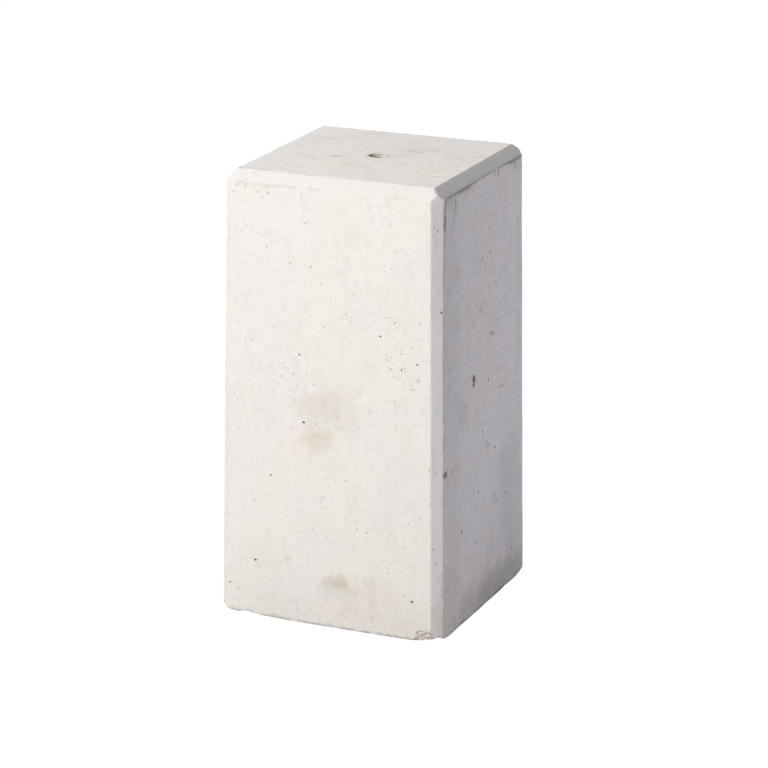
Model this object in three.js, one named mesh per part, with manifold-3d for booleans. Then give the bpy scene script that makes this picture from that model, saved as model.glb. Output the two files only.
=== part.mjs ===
// A precast concrete base block for a post or column: a square block that widens slightly
// towards its foot, with chamfered top and corner arrises, a foot worn and chipped where it
// was struck off, and a steel sleeve cast into the top, threaded for the post shoe's bolt.
// Millimetres, +Z up, origin at the centre of the underside.

import * as THREE from 'three';
import { mergeVertices } from 'three/addons/utils/BufferGeometryUtils.js';
import Module from 'manifold-3d';

// Concrete block
const height = 400;
const topWidth = 200; // between the sharp arrises that the top would have without its chamfers
const baseWidth = 211; // the mould's draft makes the foot wider than the top
const topChamfer = 9;
const cornerChamfer = 8.5;

// Wear on the foot: wedges lost from its corners, this high and reaching this far in.
// Corners count anticlockwise from the front right one, seen from above.
const cornerWear = [
  { corner: 0, drop: 3, reach: 20 },
  { corner: 1, drop: 3, reach: 20 },
  { corner: 2, drop: 4, reach: 24 },
  { corner: 3, drop: 6.5, reach: 12 }, // broken off
  { corner: 3, drop: 3, reach: 34 }, // and rubbed down beside the break
];
const chipsPerSide = 7;
const chipLength = 9;
const chipHeight = 3;
const chipBite = 1.2;
const smallestChip = 0.5; // the smallest chip's share of those sizes
const chipStray = 0.3; // how far a chip strays from its even place, as a share of the spacing

// The larger spall on the front face, beside the front right corner
const spallLength = 16;
const spallHeight = 9;
const spallBite = 2.5;
const spallSeed = 3; // picks the way its rough lump is turned

// Threaded sleeve
const threadDiameter = 16;
const threadPitch = 2;
const threadDepth = 40;
const sleeveWall = 3;
const sleeveFloor = 4;
const sleeveFlangeWidth = 5; // the collar at the sleeve's lower end, which holds it in the concrete
const sleeveFlangeHeight = 4;
const drillRunOut = 6; // plain hole below the last turn of the thread
const drillClearance = 0.1; // between the drilled hole and the thread's crest
const mouthBevel = 0.4; // on the sleeve's rim, outside the thread's crest

// The concrete keeps this much clear of the sleeve
const castingGap = 0.3;

const roundSegments = 40;
const threadSegments = 20;

const wasm = await Module();
wasm.setup();

// A closed geometry as a solid that can be joined and cut
function toSolid(geometry) {
  const bare = geometry.clone();
  bare.deleteAttribute('normal');
  bare.deleteAttribute('uv');
  const merged = mergeVertices(bare, 1e-4);
  const index = merged.index.array;
  const triangles = [];
  for (let i = 0; i < index.length; i += 3) {
    const [a, b, c] = [index[i], index[i + 1], index[i + 2]];
    if (a !== b && b !== c && c !== a) triangles.push(a, b, c);
  }
  return new wasm.Manifold(new wasm.Mesh({
    numProp: 3,
    vertProperties: new Float32Array(merged.attributes.position.array),
    triVerts: new Uint32Array(triangles),
  }));
}

function toGeometry(solid) {
  const mesh = solid.getMesh();
  const geometry = new THREE.BufferGeometry();
  geometry.setAttribute('position', new THREE.BufferAttribute(new Float32Array(mesh.vertProperties), 3));
  geometry.setIndex(new THREE.BufferAttribute(new Uint32Array(mesh.triVerts), 1));
  return geometry;
}

// A turned solid about Z, from [radius, height] points that start and end on the axis
function turned(points, segments = roundSegments) {
  const profile = points.map(([radius, z]) => new THREE.Vector2(radius, z));
  return new THREE.LatheGeometry(profile, segments).rotateX(Math.PI / 2);
}

// The block's outline

const draft = (baseWidth - topWidth) / 2 / height; // how far a side leans out for each millimetre down
const halfWidthAt = (z) => topWidth / 2 + draft * (height - z);

// The distance from the axis to the corner chamfer, and to the slope of the top chamfer
const cornerDistanceAt = (z) => (2 * halfWidthAt(z) - cornerChamfer) / Math.SQRT2;
const topSlopeDistanceAt = (z) => topWidth / 2 - topChamfer + (1 + draft) * (height - z);

// A square tapering bar as tall as the block, with flats at the given distances from the axis
function squareBar(distanceAt, turn) {
  const [top, bottom] = [distanceAt(height), distanceAt(0)].map((d) => d * Math.SQRT2);
  return new THREE.CylinderGeometry(top, bottom, height, 4)
    .rotateY(Math.PI / 4 + turn)
    .rotateX(Math.PI / 2)
    .translate(0, 0, height / 2);
}

function castBody() {
  const sides = toSolid(squareBar(halfWidthAt, 0));
  const corners = toSolid(squareBar(cornerDistanceAt, Math.PI / 4));
  const topSlopes = toSolid(squareBar(topSlopeDistanceAt, 0));
  return sides.intersect(corners).intersect(topSlopes);
}

// Wear and chips on the foot

// The wedge that one corner has lost, drawn in the upright plane through the axis and the corner
function cornerWedge({ corner, drop, reach }) {
  const inner = cornerDistanceAt(0) - reach / Math.SQRT2;
  const outer = cornerDistanceAt(drop);
  const beyond = 2; // how many times the wedge's own length it runs on, out of the block
  const section = new THREE.Shape([
    new THREE.Vector2(inner, 0),
    new THREE.Vector2(inner, -drop),
    new THREE.Vector2(inner + beyond * (outer - inner), -drop),
    new THREE.Vector2(inner + beyond * (outer - inner), beyond * drop),
  ]);
  const width = 2 * beyond * (reach + cornerChamfer);
  return new THREE.ExtrudeGeometry(section, { depth: width, bevelEnabled: false })
    .translate(0, 0, -width / 2)
    .rotateX(Math.PI / 2)
    .rotateZ(Math.PI / 2 * corner - Math.PI / 4);
}

// A repeatable stray value from 0 to 1 for a chip
function stray(seed) {
  const value = Math.sin(seed * 12.9898) * 43758.5453;
  return value - Math.floor(value);
}

// A rough lump of the given half sizes, turned about its own axes by the seed
function lump(halfLength, halfDepth, halfHeight, seed) {
  return new THREE.IcosahedronGeometry(1, 0)
    .rotateX(Math.PI * stray(seed))
    .rotateY(Math.PI * stray(seed + 0.5))
    .scale(halfLength, halfDepth, halfHeight);
}

// Small chips along one foot arris, drawn on the front and turned to their side
function sideChips(side) {
  const run = baseWidth - 2 * cornerChamfer;
  const chips = [];
  for (let i = 0; i < chipsPerSide; i += 1) {
    const seed = 1 + i + side * chipsPerSide;
    const size = smallestChip + (1 - smallestChip) * stray(seed);
    const place = i + 0.5 + chipStray * (2 * stray(seed + 0.25) - 1);
    const along = (place / chipsPerSide - 0.5) * run;
    const chip = lump(chipLength / 2 * size, chipBite * size, chipHeight * size, seed)
      .translate(along, -baseWidth / 2, 0)
      .rotateZ(side * Math.PI / 2);
    chips.push(chip);
  }
  return chips;
}

function frontSpall() {
  const x = baseWidth / 2 - cornerChamfer - spallLength / 2;
  return lump(spallLength / 2, spallBite, spallHeight, spallSeed).translate(x, -baseWidth / 2, 0);
}

function wornBody() {
  let body = castBody();
  for (const wear of cornerWear) body = body.subtract(toSolid(cornerWedge(wear)));
  for (let side = 0; side < 4; side += 1) {
    for (const chip of sideChips(side)) body = body.subtract(toSolid(chip));
  }
  return body.subtract(toSolid(frontSpall()));
}

// The sleeve and its thread

const profileHeight = Math.sqrt(3) / 2 * threadPitch; // of the sharp 60 degree triangle
const threadHeight = 5 / 8 * profileHeight; // of a metric thread's flattened form, root to crest
const rootRadius = threadDiameter / 2;
const crestRadius = rootRadius - threadHeight;
const drillRadius = crestRadius - drillClearance;
const mouthRadius = crestRadius + mouthBevel;
const sleeveRadius = rootRadius + sleeveWall;
const flangeRadius = sleeveRadius + sleeveFlangeWidth;
const drillBottom = height - threadDepth - drillRunOut;
const sleeveBottom = drillBottom - sleeveFloor;

// The sleeve's outside, grown by a clearance all round
function sleeveOutline(clearance, top) {
  return turned([
    [0, sleeveBottom - clearance],
    [flangeRadius + clearance, sleeveBottom - clearance],
    [flangeRadius + clearance, sleeveBottom + sleeveFlangeHeight + clearance],
    [sleeveRadius + clearance, sleeveBottom + sleeveFlangeHeight + clearance],
    [sleeveRadius + clearance, top],
    [0, top],
  ]);
}

function drilledHole() {
  const above = height + threadPitch;
  return turned([
    [0, drillBottom],
    [drillRadius, drillBottom],
    [drillRadius, height - (mouthRadius - drillRadius)],
    [mouthRadius, height],
    [mouthRadius, above],
    [0, above],
  ]);
}

// The thread as the tap cuts it: rings of points that climb one pitch for each turn.
// Each pitch has four rows, at the shares of a pitch where the metric profile turns.
function tap() {
  const profile = [
    { share: 0, radius: rootRadius },
    { share: 1 / 8, radius: rootRadius },
    { share: 7 / 16, radius: crestRadius },
    { share: 11 / 16, radius: crestRadius },
  ];
  const rowsPerPitch = profile.length;
  const rows = rowsPerPitch * Math.ceil(threadDepth / threadPitch);
  const bottom = height - threadDepth;
  const column = rows + rowsPerPitch + 1;
  const positions = [];
  for (let i = 0; i < threadSegments; i += 1) {
    const angle = 2 * Math.PI * i / threadSegments;
    for (let k = 0; k < column; k += 1) {
      const { share, radius } = profile[k % rowsPerPitch];
      const turns = Math.floor(k / rowsPerPitch) + share + i / threadSegments;
      positions.push(radius * Math.cos(angle), radius * Math.sin(angle), bottom + threadPitch * turns);
    }
  }
  // Past the last column, a row joins the first column one pitch higher up
  const point = (i, k) => (i < threadSegments ? i * column + k : k + rowsPerPitch);
  const lowCentre = positions.length / 3;
  positions.push(0, 0, bottom);
  const highCentre = lowCentre + 1;
  positions.push(0, 0, height + threadPitch);
  const index = [];
  for (let i = 0; i < threadSegments; i += 1) {
    for (let k = 0; k < rows; k += 1) {
      index.push(point(i, k), point(i + 1, k), point(i + 1, k + 1));
      index.push(point(i, k), point(i + 1, k + 1), point(i, k + 1));
    }
    index.push(lowCentre, point(i + 1, 0), point(i, 0));
    index.push(highCentre, point(i, rows), point(i + 1, rows));
  }
  for (let k = 0; k < rowsPerPitch; k += 1) {
    index.push(lowCentre, point(0, k), point(0, k + 1));
    index.push(highCentre, point(0, rows + k + 1), point(0, rows + k));
  }
  const geometry = new THREE.BufferGeometry();
  geometry.setAttribute('position', new THREE.Float32BufferAttribute(positions, 3));
  geometry.setIndex(index);
  return geometry;
}

function makeSleeve() {
  const blank = toSolid(sleeveOutline(0, height));
  const sleeve = blank.subtract(toSolid(drilledHole())).subtract(toSolid(tap()));
  const material = new THREE.MeshStandardMaterial({
    color: 0x9c9a94, roughness: 0.45, metalness: 0.85, flatShading: true,
  });
  const mesh = new THREE.Mesh(toGeometry(sleeve), material);
  mesh.name = 'threaded_sleeve';
  return mesh;
}

function makeBlock() {
  const pocket = sleeveOutline(castingGap, height + 1);
  const block = wornBody().subtract(toSolid(pocket));
  const material = new THREE.MeshStandardMaterial({
    color: 0xdad6cd, roughness: 0.9, metalness: 0, flatShading: true,
  });
  const mesh = new THREE.Mesh(toGeometry(block), material);
  mesh.name = 'concrete_block';
  return mesh;
}

const columnBase = new THREE.Group();
columnBase.add(makeBlock(), makeSleeve());

export default columnBase;
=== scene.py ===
import math

import bpy
import numpy as np
from mathutils import Matrix, Vector, noise
from mathutils.geometry import delaunay_2d_cdt


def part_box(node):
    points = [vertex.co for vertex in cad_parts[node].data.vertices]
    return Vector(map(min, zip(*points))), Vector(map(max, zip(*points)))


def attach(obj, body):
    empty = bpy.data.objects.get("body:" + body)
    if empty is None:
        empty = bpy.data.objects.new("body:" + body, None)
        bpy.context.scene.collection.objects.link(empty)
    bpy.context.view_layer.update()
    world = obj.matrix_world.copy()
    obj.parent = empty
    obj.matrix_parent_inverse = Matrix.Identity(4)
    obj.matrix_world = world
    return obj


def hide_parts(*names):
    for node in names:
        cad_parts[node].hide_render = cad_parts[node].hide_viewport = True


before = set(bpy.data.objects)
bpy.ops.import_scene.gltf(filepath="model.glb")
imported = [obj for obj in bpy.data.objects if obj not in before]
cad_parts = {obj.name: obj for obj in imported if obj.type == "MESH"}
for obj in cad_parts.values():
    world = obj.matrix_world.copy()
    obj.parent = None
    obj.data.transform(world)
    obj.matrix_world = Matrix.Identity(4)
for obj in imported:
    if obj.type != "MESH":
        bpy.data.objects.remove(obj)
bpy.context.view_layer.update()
mm = 0.001  # sizes below are in millimetres, Blender's are in metres
print("frame loaded")


# Small tools

def addNode(tree, kind, settings, inputs):
    # a shader node with its settings; an input gets a value, an output, or a node's first output
    node = tree.nodes.new("ShaderNode" + kind)
    for name, value in settings.items():
        setattr(node, name, value)
    for name, value in inputs.items():
        if isinstance(value, bpy.types.Node):
            value = value.outputs[0]
        if isinstance(value, bpy.types.NodeSocket):
            tree.links.new(value, node.inputs[name])
        else:
            node.inputs[name].default_value = value
    return node


def linear(hexColour):
    # an sRGB hex value such as "e6e2da" as linear red, green, blue and alpha
    shares = [int(hexColour[i:i + 2], 16) / 255 for i in (0, 2, 4)]
    return [s / 12.92 if s <= 0.04045 else ((s + 0.055) / 1.055) ** 2.4 for s in shares] + [1.0]


def addObject(name, data):
    # puts a mesh, a lamp or a camera in the scene
    made = bpy.data.objects.new(name, data)
    bpy.context.scene.collection.objects.link(made)
    return made


def noiseAt(points, grain, seed=0):
    # smooth noise from -1 to 1 that changes over the given grain in millimetres
    shift = Vector((37.7 * seed, 11.3 * seed, 5.9 * seed))
    return np.array([noise.noise(Vector(p) / grain + shift) for p in points])


def layeredNoise(points, layers):
    # noises added up, each given as its share, its grain and its seed
    return sum(share * noiseAt(points, grain, seed) for share, grain, seed in layers)


def ease(x):
    # 0 below 0, 1 above 1, and a smooth step between
    x = np.clip(x, 0, 1)
    return x * x * (3 - 2 * x)


# Concrete block: its form

block = {
    "topWidth": 200.0,  # between the sharp arrises that the top would have without chamfers
    "topChamfer": 9.0,
    "cornerChamfer": 8.5,
    "arrisSoftness": 0.16,  # the rounding of an arris as cast
    "arrisWear": 0.45,  # added where an arris is rubbed
    "wearLength": 23.0,  # how long the rubbed stretches are
    "arrisStep": 1.5,  # mesh spacing along an arris
    "arrisRows": (0.5, 1.1),  # rows of points beside it
    "openStep": 9.6,  # mesh spacing far from any detail
    "pinholeStep": 1.2,  # beside a pinhole
    "underStep": 4.8,  # on the rough underside
    "cellSplits": 4,  # how often a cell of the open spacing may be quartered
    "cellStray": 0.28,  # how far a point strays in its cell, as a share of the cell's size
    "stepGrowth": 0.9,  # how fast the spacing grows away from an arris
    "onPlane": 0.05,  # a point this near to a face's plane lies on that face
    "wave": 0.14,  # how far a cast face strays from flat
    "waveLength": 90.0,
    "waveFrom": 40.0,  # the height from which a side may also wave outwards
    "calmRing": 12.0,  # the top grows flat over this width towards the socket
    # relief of the underside, which was struck off and not cast: its noises, and how much of
    # them is scraped level
    "underNoises": ((0.9, 13.0, 9), (1.0, 4.5, 10)),
    "underLevel": 0.3,
    "underRim": (0.45, 20.0),  # the share of it at the rim, and the width over which it grows
    "footZone": 16.0,  # height over which the sides follow the worn foot
    "liftReach": 26.0,  # how far the foot's wear reaches in under the block
    "socketRadius": 11.05,  # the pocket round the steel sleeve
    "socketSegments": 64,
    "socketRing": 0.6,  # a ring of points runs this far round it
    "socketClear": 0.9,  # and all others keep this far off
    "seed": 5,
}
low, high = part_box("concrete_block")
height = (high.z - low.z) / mm
footWidth = (high.x - low.x) / mm
draft = (footWidth - block["topWidth"]) / 2 / height
rng = np.random.default_rng(block["seed"])


def halfWidthAt(z):
    return block["topWidth"] / 2 + draft * (height - z)


sideNames = ["front", "right", "back", "left"]
cornerNames = ["frontRight", "backRight", "backLeft", "frontLeft"]
slopeNames = [name + "Slope" for name in sideNames]  # the chamfers of the top
faceTurns = {}  # degrees round from straight in front
for k in range(4):
    faceTurns[sideNames[k]] = 90 * k
    faceTurns[cornerNames[k]] = 90 * k + 45
    faceTurns[slopeNames[k]] = 90 * k


def faceDirections(name):
    # outward and rightward directions of an upright or sloping face
    turn = math.radians(faceTurns[name])
    sine, cosine = math.sin(turn), math.cos(turn)
    return np.array([sine, -cosine, 0.0]), np.array([cosine, sine, 0.0])


def faceDistance(name, z):
    # how far a face lies from the block's axis at a height
    if name in slopeNames:
        return block["topWidth"] / 2 - block["topChamfer"] + (1 + draft) * (height - z)
    if name in cornerNames:
        return (2 * halfWidthAt(z) - block["cornerChamfer"]) / math.sqrt(2)
    return halfWidthAt(z)


def pointOn(name, across, z):
    # a point so far right of a face's middle and so high, or on the top so far right and back
    if name == "top":
        return np.array([across, z, height])
    out, right = faceDirections(name)
    return out * faceDistance(name, z) + right * across + np.array([0, 0, z])


def blockPlanes():
    # the fourteen flat faces, as unit normals and distances from the origin
    names, rows = list(faceTurns) + ["top", "under"], []
    up = np.array([0, 0, 1.0])
    for name in faceTurns:
        out, _ = faceDirections(name)
        lean = (faceDistance(name, 0) - faceDistance(name, height)) / height
        rows.append((out + lean * up, faceDistance(name, 0)))
    rows += [(up, height), (-up, 0.0)]
    sizes = [np.linalg.norm(normal) for normal, _ in rows]
    normals = np.array([normal / size for (normal, _), size in zip(rows, sizes)])
    offsets = np.array([offset / size for (_, offset), size in zip(rows, sizes)])
    return names, normals, offsets


planeNames, planeNormals, planeOffsets = blockPlanes()


def faceAxes(i):
    # the directions that a face's flat drawing runs in
    normal = planeNormals[i]
    across = np.cross([0, 0, 1.0], normal) if abs(normal[2]) < 0.9 else np.array([1.0, 0, 0])
    across /= np.linalg.norm(across)
    return across, np.cross(normal, across)


def faceOutline(i):
    # a wide square on the face's plane, clipped by every other plane
    across, up = faceAxes(i)
    centre = planeNormals[i] * planeOffsets[i]
    wide = 3 * height
    corners = [centre + wide * (a * across + b * up) for a, b in ((-1, -1), (1, -1), (1, 1), (-1, 1))]
    for j in range(len(planeNames)):
        if j == i:
            continue
        gaps = [corner @ planeNormals[j] - planeOffsets[j] for corner in corners]
        kept = []
        for k, corner in enumerate(corners):
            last, gap, lastGap = corners[k - 1], gaps[k], gaps[k - 1]
            if (gap <= 0) != (lastGap <= 0):
                kept.append(last + (corner - last) * lastGap / (lastGap - gap))
            if gap <= 0:
                kept.append(corner)
        corners = kept
    return corners


# Concrete block: pinholes, left where air bubbles sat against the mould.
# Each is listed under its diameter as (across, height), from the middle of the face and from
# the ground. On the top they are (to the right, to the back).

pinholes = {
    "depthShare": 0.75,  # of the diameter
    "floorDepth": 0.8,  # of the depth, where the floor meets the wall
    # rings of points as shares of the radius: the floor's edge, the rim's stray, the ring
    # outside it, and how far all other points keep off
    "floorRing": 0.6,
    "rimStray": 0.14,
    "outerRing": 1.35,
    "clearRing": 1.7,
    "floorPoints": 6,
    "rimPoints": (7, 10),  # of a small pinhole, and of one whose radius is over the next number
    "smallRadius": 0.7,
    "darkFrom": 1.35,  # millimetres of depth from which a pinhole's floor takes the full painted shade
    "front": {
        2.6: [(-24, 184), (-70, 52), (79, 35)],
        2.0: [(47, 269), (-28, 244), (81, 248), (67, 242), (-55, 132), (-95, 28)],
        1.5: [
            (-59, 336), (-37, 324), (-18, 323), (57, 329), (60, 282), (76, 262), (-12, 184), (-71, 107),
            (-78, 353), (-23, 360), (-67, 383), (-57, 383), (61, 213), (33, 30), (71, 39), (-87, 24),
        ],
        1.2: [
            (13, 320), (33, 321), (1, 298), (11, 280), (19, 279), (-52, 266), (-5, 271), (63, 235),
            (-21, 227), (-41, 231), (-87, 197), (-10, 128), (0, 129), (-5, 108), (16, 101), (-15, 89),
            (48, 91), (24, 75), (82, 235), (-79, 387), (-88, 382),
        ],
    },
    "right": {
        3.4: [(10, 207), (-54, 86), (-71, 11)],
        2.8: [(27, 290), (-4, 163), (25, 140), (-14, 111), (51, 89), (-20, 65), (67, 31), (-49, 22)],
        2.2: [
            (22, 246), (11, 147), (-89, 65), (-87, 43), (33, 262), (46, 301), (8, 318), (-38, 180),
            (-60, 195), (63, 196), (-30, 52), (-72, 100),
        ],
        1.8: [
            (11, 343), (30, 333), (35, 329), (-6, 334), (15, 320), (-5, 319), (-18, 320), (52, 300),
            (40, 294), (28, 290), (-20, 298), (-62, 305), (40, 269), (47, 272), (-7, 274), (-86, 359),
            (-74, 107), (-41, 78), (-46, 75), (-34, 61), (-43, 54), (66, 32), (-71, 10), (-50, 22),
        ],
    },
    "frontRight": {
        2.2: [(3.9, 294)],
        1.5: [(0.3, 365), (-3.8, 85), (-0.5, 71), (-0.6, 152)],
        1.1: [
            (1, 357), (1.4, 56), (3.1, 42), (0.5, 59), (-2.6, 368), (-1.2, 372), (-3.6, 361), (2, 310),
            (-1, 206), (2.6, 128), (-2, 24),
        ],
    },
    "frontSlope": {
        1.3: [(54.7, 397.5), (-74.4, 398), (-78.8, 392.4)],
        1.0: [(58, 396.3), (-70, 398), (30, 394)],
    },
    "top": {1.2: [(34, -88), (71, -86), (85, -84), (46, -87), (-70, -86)]},
    # crowds of small ones: across from and to, height from and to, how many
    "crowds": {
        "front": [(51, 84, 225, 290, 44), (-60, 10, 190, 240, 16), (20, 90, 60, 120, 14)],
        "right": [
            (-36, 66, 240, 362, 150), (-60, 10, 200, 300, 30), (-80, -20, 60, 120, 16),
            (-92, -60, 10, 60, 10),
        ],
        "back": [(-60, 20, 250, 330, 40)],
        "left": [(10, 80, 120, 200, 40)],
    },
    "crowdDiameters": (0.8, 1.45),
    "strayCount": 110,  # further small ones on each side
    "strayDiameters": (0.7, 1.3),
    "strayMargins": (3, 6, 14),  # which they keep from the corner chamfers, the foot and the top
    "unseenCount": 14,  # large ones on each side that the photograph doesn't show
    "unseenDiameters": (1.6, 2.8),
    "unseenAcross": 88,
    "unseenHeights": (15, 380),
}


def facePinholes(name):
    found = []
    for diameter, places in pinholes.get(name, {}).items():
        found += [(across, z, diameter) for across, z in places]
    if name not in sideNames:
        return found
    smallest, largest = pinholes["crowdDiameters"]
    for left, right, lower, upper, count in pinholes["crowds"][name]:
        for _ in range(count):
            place = rng.uniform(left, right), rng.uniform(lower, upper)
            found.append(place + (smallest + (largest - smallest) * rng.random() ** 2,))
    smallest, largest = pinholes["strayDiameters"]
    aside, above, below = pinholes["strayMargins"]
    for _ in range(pinholes["strayCount"]):
        z = rng.uniform(above, height - below)
        across = rng.uniform(-1, 1) * (halfWidthAt(z) - block["cornerChamfer"] - aside)
        found.append((across, z, smallest + (largest - smallest) * rng.random() ** 2))
    if name in ("back", "left"):
        wide = pinholes["unseenAcross"]
        for _ in range(pinholes["unseenCount"]):
            across, z = rng.uniform(-wide, wide), rng.uniform(*pinholes["unseenHeights"])
            found.append((across, z, rng.uniform(*pinholes["unseenDiameters"])))
    return found


# Concrete block: marks on its faces. Each is a stroke from one place to another, both given
# as for the pinholes, with its half width and its strength from 0 to 1.

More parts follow.
